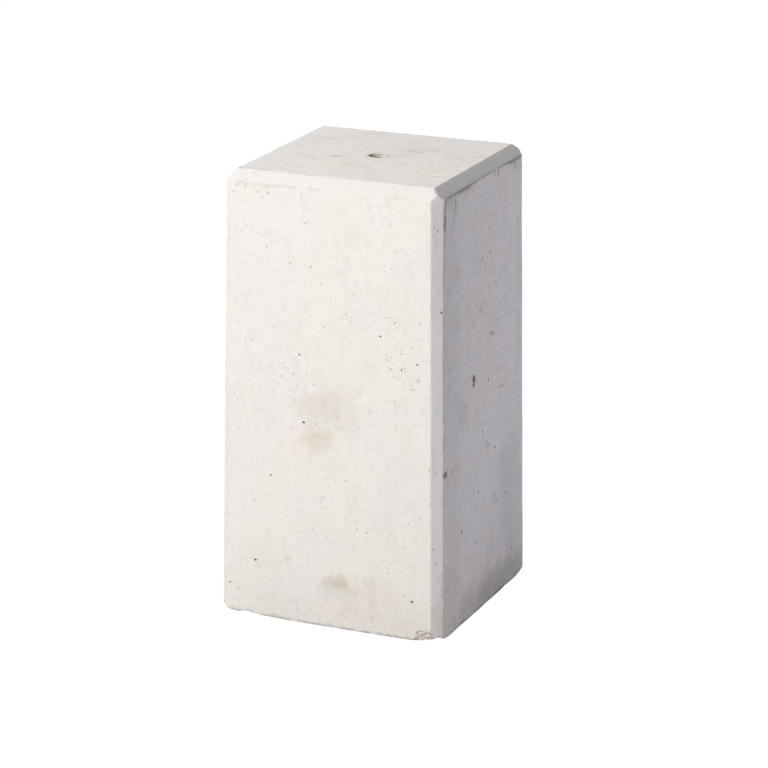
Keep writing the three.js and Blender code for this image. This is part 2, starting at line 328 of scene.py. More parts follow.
marks = {
    # grout lost under the chamfer strips, creases beside the corner chamfers, chips, and lines along
    # arrises and the foot: each sinks the surface a little, and its dark colour is painted shade, with a
    # little dirt in the gaps
    "dark": {
        "front": [
            (-52, 390.8, -33, 390.6, 0.4, 0.2), (-27, 390.5, -26.4, 385.5, 0.5, 0.18),
            (-22, 390.9, -9, 391, 0.4, 0.18), (-88, 388, -86, 387, 0.8, 0.3),
            (-91, 382, -90, 381, 0.7, 0.35), (78.3, 196.3, 81.2, 193.4, 0.5, 0.25),
            (46, 390.6, 70, 390.8, 0.35, 0.12),
        ],
        "right": [
            (-81, 390, -81.3, 384, 0.8, 0.3), (-66, 390.5, -66.5, 376, 2, 0.36),
            (-69.5, 376, -70.5, 364, 1.3, 0.25), (-75.5, 388, -75.5, 379, 1.4, 0.24),
            (-86.5, 390, -89.6, 382, 2.2, 0.5), (-89.3, 375.5, -90.2, 366, 2.1, 0.6),
            (-90.6, 381, -91, 370, 1, 0.4), (-91, 366, -91.6, 346, 0.7, 0.4),
            (-92, 344, -92.3, 330, 0.5, 0.3), (-92.6, 320, -93.3, 290, 0.5, 0.25),
            (-93.5, 280, -94.6, 196, 0.5, 0.28), (-95.8, 130, -96.6, 70, 0.5, 0.22),
            (-82, 390.4, -60, 390.2, 1, 0.5), (-60, 390, -33, 390.2, 1.5, 0.6),
            (-33, 390.2, -19, 390.8, 1, 0.5), (-19, 391, 20, 391.2, 0.5, 0.45),
            (0.8, 390.2, 1, 389.4, 1, 0.5), (25.2, 391, 25.2, 387, 1.2, 0.5),
            (33.8, 391, 33.8, 385.6, 1.3, 0.6), (36, 391, 45, 391, 0.5, 0.45),
            (44.5, 390.8, 62, 390.4, 0.9, 0.5), (62, 390, 80, 390, 1.6, 0.6),
            (80, 390.2, 90, 390.4, 1.3, 0.55), (73.6, 389.5, 73.6, 383.8, 1.4, 0.35),
            (90.4, 388, 91.4, 362, 1.3, 0.4), (91.4, 362, 92.4, 300, 0.7, 0.3),
            (93.4, 215, 94.6, 150, 0.7, 0.3), (-22.4, 218, -23.4, 211.6, 1.1, 0.8),
            (3.6, 148.4, 7.5, 151.4, 0.9, 0.4), (45, 191.5, 46, 191.2, 0.8, 0.5),
            (-79, 146.8, -71, 148, 0.8, 0.35), (-92.6, 149.8, -88.6, 149.4, 1.7, 0.5),
            (-60, 1.2, -48, 1.2, 0.9, 0.4), (-20, 1.2, -3, 1.4, 0.9, 0.5), (24, 1.6, 44, 2, 1, 0.5),
        ],
        "back": [
            (-60, 390.8, -20, 391, 0.5, 0.3), (12, 391, 70, 390.8, 0.4, 0.3),
            (44, 390, 44, 384, 0.7, 0.25),
        ],
        "left": [
            (-80, 390.8, -52, 391, 0.5, 0.3), (5, 391, 30, 390.8, 0.4, 0.3),
            (70, 390, 70.5, 380, 0.8, 0.25),
        ],
        "top": [
            (-89.6, -88.2, -88.4, -87.4, 1.3, 0.75), (-33, -18, -31, -13.5, 0.8, 0.35),
            (25, 27.4, 28, 26.4, 1, 0.25), (75.4, -53, 78, -52, 0.7, 0.3),
            (-88, 90.4, 88, 90.4, 0.6, 0.26), (-90.4, -84, -90.4, 88, 0.6, 0.2),
        ],
        "frontSlope": [(-86, 390, -82, 391.6, 0.5, 0.25)],
        "rightSlope": [(-88, 399.4, 88, 399.4, 0.5, 0.26)],
    },
    "brown": {
        "front": [
            (-47, 390, -32, 389.6, 0.8, 0.22), (52, 389.6, 70, 390.2, 1, 0.14),
            (8, 42.5, 12, 43, 5.6, 0.5), (-2, 41, 7, 42, 3.8, 0.36), (-40, 57, -38, 58, 3, 0.2),
            (-68, 46, -67, 50, 3.5, 0.16), (40, 46, 41, 27, 4.6, 0.16), (56, 42, 62, 30, 9, 0.1),
            (-19, 199, 5, 200, 11, 0.23), (-17, 188, -14, 180, 8, 0.18), (-15, 170, -6, 170, 9, 0.28),
            (13, 207, 16, 190, 12, 0.13), (38, 202.5, 38.6, 201, 1.2, 0.3),
            (-20, 160, 4, 152, 12, 0.04), (-60, 60, -50, 20, 16, 0.05), (20, 20, 80, 14, 9, 0.09),
            (-80, 386, -55, 384, 3, 0.06),
        ],
        "right": [
            (33, 193, 45.6, 191.3, 0.9, 0.6), (-82, 58, -66, 40, 9, 0.14), (-40, 16, -20, 24, 12, 0.1),
        ],
        "top": [(14, 2, 26, 40, 10, 0.1)],
        "frontRight": [
            (0, 30, 0, 6, 6, 0.13), (3.6, 62, 4.4, 40, 1.4, 0.22), (-3.4, 176, -3.2, 150, 1.4, 0.16),
        ],
    },
    # soft grey strokes: some are real discolouring, such as the smudges and drips; the rest are painted
    # shade, under the chamfer strips, near the foot, along the right face's edges and over the whole
    # right slope
    "grimeAndShade": {
        "front": [
            (-86, 390.2, -58, 390, 1.1, 0.26), (-60, 389.6, -48, 389.2, 1.3, 0.28),
            (-19, 389.8, -12, 389.5, 1.1, 0.15), (0, 34, 24, 36, 7, 0.18),
            (-7.3, 117, -3.2, 119.8, 0.6, 0.3), (-7.3, 117, -6.9, 113.3, 0.6, 0.3),
            (-97, 370, -96, 200, 2, 0.12),
        ],
        "right": [
            (-66, 208, -50, 190, 9, 0.26), (14.5, 247.6, 21.5, 245.4, 2, 0.4),
            (24, 93, 33, 87, 6, 0.32), (0, 12, 92, 13, 15, 0.62), (-50, 16, 0, 14, 12, 0.26),
            (8, 44, 14, 26, 7, 0.2), (18, 62, 20, 40, 3, 0.24), (36, 66, 37, 44, 3, 0.2),
            (82, 330, 86, 90, 6, 0.14), (60, 180, 64, 120, 9, 0.12), (-92, 30, -92, 60, 5, 0.2),
            (-80, 385, -82, 12, 18, 0.15), (62, 108, 64, 30, 26, 0.33), (20, 90, 26, 40, 20, 0.1),
            (-80, 310, -78, 180, 16, 0.2), (-60, 390, -30, 388, 4, 0.3), (60, 390, 90, 384, 5, 0.25),
            (-88, 386, -72, 386, 5, 0.2),
        ],
        "back": [
            (-30, 200, -10, 120, 30, 0.1), (20, 8, 90, 10, 20, 0.22), (-70, 388, -20, 389, 2, 0.16),
        ],
        "left": [(20, 260, 30, 190, 28, 0.1), (-80, 8, -20, 8, 18, 0.2), (-80, 389, -50, 389, 2, 0.16)],
        "top": [
            (-36, -19, -27, -13, 3.6, 0.24), (-30, 33, -20, 25, 2.4, 0.15), (-23, 14, -17, 10, 2, 0.14),
            (24, 28, 31, 25, 3.4, 0.32), (40, 34, 40, 43, 3.4, 0.2), (-12, -42, 10, -46, 5, 0.14),
            (-70, -72, -20, -92, 2.6, 0.14), (-78, -50, -40, -62, 3, 0.08),
            (-30, 60, -27, 63, 2.6, 0.14), (-80, 30, -30, 84, 4, 0.1), (74, -54, 79, -51, 2, 0.22),
            (30, -86, 84, -84, 2.6, 0.14), (-60, -24, -40, -34, 3, 0.16), (10, 62, 36, 78, 5, 0.1),
            (60, 10, 84, 30, 5, 0.14), (-10, -14, -16, -13, 1.4, 0.25), (-88, -86, -60, -88, 2, 0.18),
        ],
        "frontRight": [
            (-2.6, 372, -2.2, 350, 2, 0.26), (-3.4, 348, -3, 318, 1.2, 0.18), (0, 384, 0, 296, 9, 0.16),
            (0, 296, 0, 210, 9, 0.06), (4.4, 330, 4.6, 240, 0.8, 0.2),
        ],
        "rightSlope": [(-90, 395.5, 90, 395.5, 30, 0.2)],
    },
    "edge": {"dark": 0.9, "brown": 1.3, "grimeAndShade": 1.8},  # how soft the strokes' edges are
    "ragged": 0.6,  # how ragged they are
    "sink": 0.6,  # millimetres that the surface sinks in the darkest mark
    "step": 0.8,  # the finest mesh spacing in them
}
# pieces broken out of the faces: from and to, half width, depth
chips = {
    "step": 0.7,
    "edge": 0.7,
    # painted shade in a chip's hollow, as a share of the dark colour
    "shade": 0.4,
    "right": [(-24.4, 218, -24.8, 211.4, 2.0, 1.6), (-92.8, 149.6, -88.8, 149.2, 2.2, 2.0)],
    "back": [(41, 129, 44, 128, 2.0, 1.4)],
    "left": [(-51, 266, -51, 264, 2.0, 1.3)],
}


# Concrete block: wear of the foot. Each list gives, along a side from left to right, the share
# of the half width and how far the struck-off edge is lost there.

footWear = {
    "front": [
        (-1, 5.8), (-0.95, 4.2), (-0.91, 2.9), (-0.86, 2.0), (-0.82, 1.6), (-0.77, 2.8), (-0.72, 3.1),
        (-0.68, 2.0), (-0.62, 1.1), (-0.45, 0.6), (-0.25, 0.2), (0.1, 0.0), (0.4, 0.0), (0.55, 0.0),
        (0.76, 0.1), (0.84, 1.0), (0.92, 2.8), (1, 5.2),
    ],
    "right": [
        (-1, 5.2), (-0.96, 3.8), (-0.9, 1.7), (-0.8, 0.2), (0.2, 0.0), (0.6, 0.0), (0.74, 0.1),
        (0.8, 0.8), (0.86, 2.0), (0.92, 3.2), (1, 5.8),
    ],
    "back": [
        (-1, 5.8), (-0.92, 2.4), (-0.7, 0.3), (0.1, 0.6), (0.5, 0.1), (0.85, 0.8), (0.94, 2.4),
        (1, 3.8),
    ],
    "left": [
        (-1, 3.8), (-0.93, 2.2), (-0.8, 0.5), (-0.2, 0.1), (0.4, 0.5), (0.8, 0.9), (0.92, 3.4),
        (1, 5.8),
    ],
}
spall = {
    "face": "front",
    "across": 90.5,
    "halfLength": 8.5,
    "top": 9.5,
    "depth": 1.5,
    "step": 0.62,
    "crumbs": ((1.1, 1.7, 4), (0.7, 0.85, 5)),  # noises
    "level": 0.5,  # of the broken face, as a share of the depth
    "relief": 0.9,  # how far the crumbs raise and lower it, likewise
    "thickness": 6.0,  # how far in from the face the block can break
    "edge": (1.1, 0.35, 4.0, 0.22),  # where it ends, how ragged it is, in what grain, how soft
    "reach": 1.5,  # how far out its edge may fray
    "dirtAndShade": (0.5, 0.26),  # how fast the hollows darken with painted shade, and how far
}


def footLift(points):
    # how far the underside is lost above each point
    x, y = points[:, 0], points[:, 1]
    reach = np.maximum(np.maximum(abs(x), abs(y)), 1e-6)
    lift = np.zeros(len(points))
    for name in sideNames:
        out, right = faceDirections(name)
        here = points @ out >= reach - 1e-9
        shares, losses = zip(*footWear[name])
        lift[here] = np.interp((points[here] @ right) / reach[here], shares, losses)
    inward = halfWidthAt(0) - reach
    return lift * np.clip(1 - inward / block["liftReach"], 0, 1)


# Concrete block: its mesh

def insideDistance(points, outline):
    # the distance from each point in to the nearest edge of a convex outline
    nearest = np.full(len(points), np.inf)
    for a, b in zip(outline, np.roll(outline, -1, axis=0)):
        run = (b - a) / np.linalg.norm(b - a)
        nearest = np.minimum(nearest, (points - a) @ np.array([-run[1], run[0]]))
    return nearest


def edgePoints(a, b):
    # evenly spaced points from a up to b, the same whichever face asks
    swap = tuple(np.round(a, 6)) > tuple(np.round(b, 6))
    start, end = (b, a) if swap else (a, b)
    count = max(1, round(np.linalg.norm(b - a) / block["arrisStep"]))
    points = [start + (end - start) * k / count for k in range(count + 1)]
    return points[:0:-1] if swap else points[:-1]


def strokeEnds(name, left, lower, right, upper, flat):
    # the ends of a stroke on a face, on the face's flat drawing
    return pointOn(name, left, lower) @ flat, pointOn(name, right, upper) @ flat


def strokeDistance(points, a, b):
    # the distance of each point from the line between two ends
    run = b - a
    share = np.clip((points - a) @ run / max(run @ run, 1e-9), 0, 1)
    return np.linalg.norm(points - a - share[:, None] * run, axis=1)


def faceSteps(points, outline, holes, name):
    # the mesh spacing that each point wants
    steps = block["arrisStep"] + block["stepGrowth"] * np.maximum(insideDistance(points, outline), 0)
    for centre, radius, _ in holes:
        away = np.linalg.norm(points - centre, axis=1) - radius
        steps = np.minimum(steps, np.maximum(block["pinholeStep"], away))
    if name == "under":
        steps = np.minimum(steps, block["underStep"])
    return steps


def faceCells(outline, holes, name, zones):
    # points in square cells, which are split where more detail is wanted
    size = block["openStep"]
    least = size / 2 ** block["cellSplits"]
    start, end = outline.min(0), outline.max(0)
    columns, rows = [np.arange(a + size / 2, b + size / 2, size) for a, b in zip(start, end)]
    cells = np.array([(x, y) for x in columns for y in rows])
    points = np.empty((0, 2))
    while len(cells):
        steps = faceSteps(cells, outline, holes, name)
        for a, b, half, step in zones:
            near = strokeDistance(cells, a, b) < half + 0.7 * size  # counts a cell that only touches
            steps[near] = np.minimum(steps[near], step)
        done = (steps >= size) | (size <= least)
        stray = block["cellStray"]
        moved = cells[done] + rng.uniform(-stray, stray, (done.sum(), 2)) * size
        inside = insideDistance(moved, outline) > max(block["arrisRows"][-1] + 0.5, size / 2)
        points = np.vstack([points, moved[inside]])
        quarter = size / 4 * np.array([(-1, -1), (1, -1), (1, 1), (-1, 1)])
        cells = (cells[~done][:, None, :] + quarter).reshape(-1, 2)
        size /= 2
    return points


def ring(centre, radius, count, stray=0.0):
    turns = 2 * math.pi * (np.arange(count) + rng.random()) / count
    radii = radius * (1 + rng.uniform(-stray, stray, count))
    return centre + radii[:, None] * np.column_stack([np.cos(turns), np.sin(turns)])


def faceDetails(i, flat, nicks):
    # a face's pinholes, and the strips of it that want a finer mesh
    name = planeNames[i]
    holes, zones = [], []
    for place, z, diameter in facePinholes(name):
        holes.append((pointOn(name, place, z) @ flat, diameter / 2, diameter * pinholes["depthShare"]))
    for kind in marks["edge"]:
        for *ends, half, _ in marks[kind].get(name, []):
            zones.append(strokeEnds(name, *ends, flat) + (half, max(marks["step"], half / 2)))
    for *ends, half, _ in chips.get(name, []):
        zones.append(strokeEnds(name, *ends, flat) + (half, chips["step"]))
    if name == spall["face"]:
        left, right = (spall["across"] + side * spall["halfLength"] / 2 for side in (-1, 1))
        zones.append(strokeEnds(name, left, 3, right, 3, flat) + (spall["top"] - 2, spall["step"]))
    for place, radius in nicks:
        if abs(place @ planeNormals[i] - planeOffsets[i]) < radius:
            spot = place @ flat
            zones.append((spot, spot, radius, max(arrisNicks["step"], 0.4 * radius)))
    return holes, zones


def rowsBeside(outline):
    # rows of points along a face's edges, a little in from them
    rows = []
    for offset in block["arrisRows"]:
        for a, b in zip(outline, np.roll(outline, -1, axis=0)):
            run = (b - a) / np.linalg.norm(b - a)
            inward = np.array([-run[1], run[0]])
            count = max(1, round(np.linalg.norm(b - a) / block["arrisStep"]))
            for k in range(count):
                rows.append(a + (b - a) * (k + 0.5) / count + inward * offset)
    rows = np.array(rows)
    offsets = np.repeat(block["arrisRows"], len(rows) // len(block["arrisRows"]))
    return rows[insideDistance(rows, outline) > offsets * 0.999]  # drops those nearer to another edge


def meshFace(i, outline3d, nicks):
    # one face as points, their sinking into the concrete and triangles
    name = planeNames[i]
    flat = np.column_stack(faceAxes(i))
    outline = np.array(outline3d) @ flat
    holes, zones = faceDetails(i, flat, nicks)
    ends = zip(outline3d, outline3d[1:] + outline3d[:1])
    border = np.array([point for a, b in ends for point in edgePoints(a, b)])
    inner = np.vstack([rowsBeside(outline), faceCells(outline, holes, name, zones)])
    ringPoints, sinks = [], []
    for centre, radius, depth in holes:
        inner = inner[np.linalg.norm(inner - centre, axis=1) > pinholes["clearRing"] * radius]
        count = pinholes["rimPoints"][int(radius >= pinholes["smallRadius"])]
        floor = pinholes["floorPoints"]
        ringPoints += [[centre], ring(centre, pinholes["floorRing"] * radius, floor),
                       ring(centre, radius, count, pinholes["rimStray"]),
                       ring(centre, pinholes["outerRing"] * radius, count)]
        sinks += [depth] + [pinholes["floorDepth"] * depth] * floor + [0.0] * 2 * count
    if name == "top":
        radius, count = block["socketRadius"], block["socketSegments"]
        inner = inner[np.linalg.norm(inner, axis=1) > radius + block["socketClear"]]
        ringPoints += [ring(np.zeros(2), wide, count) for wide in (radius, radius + block["socketRing"])]
        sinks += [0.0] * 2 * count
    extra = np.vstack(ringPoints) if ringPoints else np.empty((0, 2))
    points = np.vstack([border @ flat, inner, extra])
    sink = np.concatenate([np.zeros(len(border) + len(inner)), np.array(sinks, float)])
    loop = [(k, (k + 1) % len(border)) for k in range(len(border))]
    found = delaunay_2d_cdt([Vector(p) for p in points], loop, [], 1, 1e-5)
    source = [ids[0] for ids in found[3]]
    triangles = np.array([[source[v] for v in face] for face in found[2]])
    centres = points[triangles].mean(1)
    if name == "top":
        inSocket = np.linalg.norm(centres, axis=1) < block["socketRadius"] * 0.9985
        triangles = triangles[~inSocket]
    a, b, c = (points[triangles[:, k]] for k in range(3))
    area = (b - a)[:, 0] * (c - a)[:, 1] - (b - a)[:, 1] * (c - a)[:, 0]
    triangles[area < 0] = triangles[area < 0][:, ::-1]
    placed = points @ flat.T + planeNormals[i] * planeOffsets[i]
    placed[:len(border)] = border
    return placed, sink, triangles


def joinFaces(nicks):
    # all faces as one closed surface, with shared points along the arrises
    places, sinks, kinds, triangles, shared = [], [], [], [], {}
    for i, name in enumerate(planeNames):
        points, sink, faces = meshFace(i, faceOutline(i), nicks)
        kind = (float(name in slopeNames), float(name == "frontRight"))
        ids = []
        for point, depth in zip(points, sink):
            key = tuple(np.round(point, 3))
            if key not in shared:
                shared[key] = len(places)
                places.append(point)
                sinks.append(depth)
                kinds.append(kind)
            ids.append(shared[key])
        ids = np.array(ids)
        triangles.append(ids[faces])
        print(name, len(faces), "triangles")
    return np.array(places), np.array(sinks), np.array(kinds), np.vstack(triangles), shared


def soften(points, softness):
    # moves points in to the rounded arrises that the flat faces blend into
    for _ in range(4):
        gaps = points @ planeNormals.T - planeOffsets
        most = gaps.max(1, keepdims=True)
        weights = np.exp((gaps - most) / softness[:, None])
        total = weights.sum(1, keepdims=True)
        level = most + softness[:, None] * np.log(total)
        pull = weights @ planeNormals / total
        points = points - level * pull / (pull * pull).sum(1, keepdims=True)
    gaps = points @ planeNormals.T - planeOffsets
    weights = np.exp((gaps - gaps.max(1, keepdims=True)) / softness[:, None])
    pull = weights @ planeNormals / weights.sum(1, keepdims=True)
    return points, pull / np.linalg.norm(pull, axis=1, keepdims=True)


def onStrokes(base, name, strokes, edge):
    # how strongly each point of a face is marked by its strokes, with ragged edges
    strength = np.zeros(len(base))
    if name == "top":
        places, onFace = base[:, :2], abs(base[:, 2] - height) < block["onPlane"]
    else:
        out, right = faceDirections(name)
        places = np.column_stack([base @ right, base[:, 2]])
        onFace = abs(base @ out - faceDistance(name, base[:, 2])) < block["onPlane"]
    for left, lower, right, upper, half, most in strokes:
        distance = strokeDistance(places, np.array([left, lower]), np.array([right, upper])) / half
        near = np.flatnonzero(onFace & (distance < 1 + edge))
        if len(near):
            ragged = distance[near] + marks["ragged"] * noiseAt(base[near], max(1.2, 0.9 * half), 3)
            strength[near] = np.maximum(strength[near], most * ease((1 + edge / 2 - ragged) / edge))
    return strength


def markStrength(base, kind):
    edge = marks["edge"][kind]
    return sum(onStrokes(base, name, strokes, edge) for name, strokes in marks[kind].items())


def bite(points, normals, nicks):
    # bites along the arrises, each the shape of a rough ball
    lost = np.zeros(len(points))
    for place, radius in nicks:
        distance = np.linalg.norm(points - place, axis=1)
        near = np.flatnonzero(distance < 1.4 * radius)
        lumps = noiseAt(points[near], radius * arrisNicks["grain"], 8)
        rough = radius * (1 + arrisNicks["rough"] * lumps)
        push = np.maximum(rough - distance[near], 0)
        points[near] -= normals[near] * push[:, None]
        lost[near] = np.maximum(lost[near], push / radius)
    return lost


arrisNicks = {
    "count": 80,
    "radii": (0.8, 2.0),  # most are near the smaller one
    "outside": 0.62,  # the ball's centre stands this share of its radius off the arris
    "rough": 0.25,  # how far the ball strays from round, as a share of its radius
    "grain": 0.7,  # of that roughness, likewise
    "step": 0.7,  # the finest mesh spacing in a nick
    # the ones that show most, as (x, y, z, radius)
    "named": [
        (-92, -91.5, 400.6, 3), (-98.1, -95.2, 395.8, 3.2), (94.6, -103.4, 156, 1.7),
        (95, -103.8, 125, 1.5), (104.6, -94.6, 149.6, 2.4), (96.6, -93.2, 394.4, 1),
        (98.4, -92.6, 392.4, 1.1), (100.6, -93, 390.4, 1.3),
    ],
}


def chooseNicks():
    # centres and radii of bites at random on the arrises, and of the named ones
    outlines = [faceOutline(i) for i in range(len(planeNames))]
    nicks = []
    smallest, largest = arrisNicks["radii"]
    for _ in range(arrisNicks["count"]):
        outline = outlines[rng.integers(len(outlines))]
        k = rng.integers(len(outline))
        share = rng.random()
        place = outline[k - 1] * share + outline[k] * (1 - share)
        radius = smallest + (largest - smallest) * rng.random() ** 2
        away = np.array([place[0], place[1], 0]) / np.linalg.norm(place[:2])
        nicks.append((place + away * radius * arrisNicks["outside"], radius))
    nicks += [(np.array([x, y, z]), radius) for x, y, z, radius in arrisNicks["named"]]
    return nicks


# painted shade: dark lines along the foot, where the block meets the floor, and beside the corner
# chamfers' arrises. Their breaks are a level, and noises
# that raise or lower it: a line shows where this is above 0
edgeShade = {
    "width": 0.6,
    "arrisStrength": 0.42,
    "arrisBreaks": (0.5, ((0.9, 14.0, 12), (0.5, 3.0, 13))),
    "footHeight": 1.4,
    "footFade": 0.7,  # the height over which the line fades out, below that
    "footStrength": 0.85,
    "footBreaks": (0.7, ((1.2, 8.0, 14), (0.8, 2.4, 15))),
}


def paintedEdgeShade(base):
    # painted shade: thin dark lines, broken here and there, along the foot where the block meets the
    # floor, and beside the corner chamfers' arrises, except on the front
    gaps = base @ planeNormals.T - planeOffsets
    columns = {name: gaps[:, k] for k, name in enumerate(planeNames)}
    onCorner = np.max([columns[name] for name in cornerNames], axis=0)
    onSide = np.max([columns[name] for name in sideNames], axis=0)
    shade = np.zeros(len(base))
    within = -block["onPlane"]
    beside = np.flatnonzero((onCorner > within) & (onSide > -edgeShade["width"]) & (columns["front"] < within))
    level, noises = edgeShade["arrisBreaks"]
    shade[beside] = ease(level + layeredNoise(base[beside], noises)) * edgeShade["arrisStrength"]
    foot = np.flatnonzero((base[:, 2] < edgeShade["footHeight"]) & (np.maximum(onSide, onCorner) > within))
    level, noises = edgeShade["footBreaks"]
    fade = np.clip((edgeShade["footHeight"] - base[foot, 2]) / edgeShade["footFade"], 0, 1)
    shade[foot] = ease(level + layeredNoise(base[foot], noises)) * edgeShade["footStrength"] * fade
    return shade


def breakSpall(base, points, normals):
    # breaks crumbs out of the face; returns how broken each point is, and how much painted shade darkens
    # its hollows
    broken, dirtAndShade = np.zeros(len(base)), np.zeros(len(base))
    out, right = faceDirections(spall["face"])
    away = np.hypot((base @ right - spall["across"]) / spall["halfLength"], base[:, 2] / spall["top"])
    near = np.flatnonzero((away < spall["reach"]) & (base @ out > halfWidthAt(0) - spall["thickness"]))
    crumbs = layeredNoise(base[near], spall["crumbs"])
    end, ragged, grain, soft = spall["edge"]
    broken[near] = ease((end + ragged * noiseAt(base[near], grain, 6) - away[near]) / soft)
    depth = spall["depth"] * (spall["level"] + spall["relief"] * crumbs)
    points[near] -= normals[near] * (broken[near] * depth)[:, None]
    rate, most = spall["dirtAndShade"]
    dirtAndShade[near] = broken[near] * np.clip(rate * crumbs, 0, most)
    return broken, dirtAndShade


def roughenFoot(base, points):
    # the struck-off underside and the worn edge round it, which the sides follow
    relief = layeredNoise(base, block["underNoises"]) - block["underLevel"]
    reach = np.maximum(abs(base[:, 0]), abs(base[:, 1]))
    least, width = block["underRim"]  # the strickle ran along the mould's rim
    relief *= least + (1 - least) * ease((halfWidthAt(0) - reach) / width)
    lift = footLift(points) + np.clip(relief, 0, None)
    points[:, 2] += lift * np.clip(1 - points[:, 2] / block["footZone"], 0, 1)


def addPocket(base, points, triangles, shared):
    # the pocket round the sleeve, from the socket's rim in the top down to its floor
    radius, count = block["socketRadius"], block["socketSegments"]
    rimIds = [shared[tuple(np.round(p, 3))] for p in base
              if abs(p[2] - height) < 1e-6 and abs(np.linalg.norm(p[:2]) - radius) < 1e-6]
    rimIds.sort(key=lambda k: math.atan2(base[k][1], base[k][0]))
    points[rimIds] = base[rimIds]
    gap = radius - sleeve["radius"]
    collar, floor = collarRadius + gap, sleeveBottom - gap
    shoulder = floor + sleeve["collarHeight"] + 2 * gap
    walls, last, made, parts = [], rimIds, len(points), [points]
    for wide, z in ((radius, shoulder), (collar, shoulder), (collar, floor)):
        parts.append(np.column_stack([base[rimIds][:, :2] * wide / radius, np.full(count, z)]))
        new = list(range(made, made + count))
        made += count
        for k in range(count):
            n = (k + 1) % count
            walls += [(last[k], new[n], last[n]), (last[k], new[k], new[n])]
        last = new
    parts.append(np.array([[0, 0, floor]]))
    walls += [(last[k], made, last[(k + 1) % count]) for k in range(count)]
    return np.vstack(parts), np.vstack([triangles, np.array(walls)])


weathering = {  # how mottled each face is
    "front": 0.75,
    "right": 1.5,
    "frontSlope": 0.9,
    "rightSlope": 1.7,
    "frontRight": 0.6,
    "others": 1.2,
}


def makeBlock():
    nicks = chooseNicks()
    base, sink, kinds, triangles, shared = joinFaces(nicks)
    rub = noiseAt(base, block["wearLength"], 1)
    softness = block["arrisSoftness"] + block["arrisWear"] * np.clip(rub, 0, 1)
    points, normals = soften(base.copy(), softness)
    fromSocket = np.linalg.norm(points[:, :2], axis=1) - block["socketRadius"]
    onTop = points[:, 2] > height - 1
    calm = np.where(onTop, ease((fromSocket - 1) / block["calmRing"]), 1.0)
    # the top and the foot only wave inwards, and so keep the block's size
    inward = np.where(onTop, 1.0, 1 - ease(points[:, 2] / block["waveFrom"]))
    wave = block["wave"] * (noiseAt(base, block["waveLength"], 2) - inward) * calm
    points += normals * wave[:, None]
    print("faces joined and softened")

    broken, dirtAndShade = breakSpall(base, points, normals)
    points -= normals * sink[:, None]
    # painted shade: the dark marks, the spall's hollows and the chips are darkened where shade falls in
    # them
    dark = np.maximum(markStrength(base, "dark"), dirtAndShade)
    points -= normals * (marks["sink"] * dark)[:, None]
    for name in sideNames:
        for *ends, half, depth in chips.get(name, []):
            hollow = onStrokes(base, name, [(*ends, half, 1.0)], chips["edge"])
            points -= normals * (hollow * depth)[:, None]
            dark = np.maximum(dark, hollow * chips["shade"])
    lost = bite(points, normals, nicks)
    dark = np.maximum(dark, paintedEdgeShade(base))
    weathered = np.full(len(base), weathering["others"])
    for name, amount in weathering.items():
        if name in planeNames:
            k = planeNames.index(name)
            weathered[abs(base @ planeNormals[k] - planeOffsets[k]) < block["onPlane"]] = amount
    print("faces worn and marked")

    roughenFoot(base, points)
    half = footWidth / 2
    points = np.clip(points, [-half, -half, 0], [half, half, height])
    points, triangles = addPocket(base, points, triangles, shared)

    mesh = bpy.data.meshes.new("concreteBlock")
    mesh.from_pydata((points * mm).tolist(), [], triangles.tolist())
    mesh.polygons.foreach_set("use_smooth", [True] * len(mesh.polygons))
    spare = len(points) - len(sink)
    values = {
        # painted shade inside the pinholes, growing with their depth
        "pitShade": np.clip(sink / pinholes["darkFrom"], 0, 1),
        "strip": kinds[:, 0],
        "pale": kinds[:, 1],
        "dark": dark,
        "brown": markStrength(base, "brown"),
        "grimeAndShade": markStrength(base, "grimeAndShade"),
        "weathered": weathered,
        "fresh": np.clip(np.maximum(broken, lost * 2), 0, 1),
    }
    for name, value in values.items():
        stored = mesh.attributes.new(name, "FLOAT", "POINT")
        stored.data.foreach_set("value", np.concatenate([value, np.zeros(spare)]).astype(np.float32))
    mesh.validate()
    print("block meshed:", len(mesh.polygons), "triangles")
    return addObject("concreteBlock", mesh)


# Threaded sleeve: its form

sleeve = {
    "radius": 11.0,
    "collarHeight": 4.0,
    "threadDiameter": 16.0,
    "pitch": 2.0,
    "threadDepth": 40.0,
    "runOut": 6.0,  # plain hole below the thread
    "mouthBevel": 0.4,
    "segments": 64,
    "rowsPerPitch": 10,
    "filmDepth": 3.0,  # how far cement paste ran down the thread
    "filmRadius": 10.9,  # it lies inside this, so the outer wall stays bare
}
sleeveLow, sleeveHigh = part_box("threaded_sleeve")
sleeveBottom = sleeveLow.z / mm
collarRadius = (sleeveHigh.x - sleeveLow.x) / 2 / mm


def threadRadius(z, angle):
    # the wall of the tapped hole, after the basic metric thread profile
    threadHeight = 1.0825 / 2 * sleeve["pitch"]
    crest = sleeve["threadDiameter"] / 2 - threadHeight
    phase = ((z - height) / sleeve["pitch"] - angle / (2 * math.pi)) % 1.0
    depth = np.interp(phase, [0, 1 / 8, 7 / 16, 11 / 16, 1], [1, 1, 0, 0, 1])
    fade = ease((z - (height - sleeve["threadDepth"])) / sleeve["pitch"])
    bevel = crest + sleeve["mouthBevel"] - (height - z)
    return np.maximum(crest + depth * threadHeight * fade, bevel)


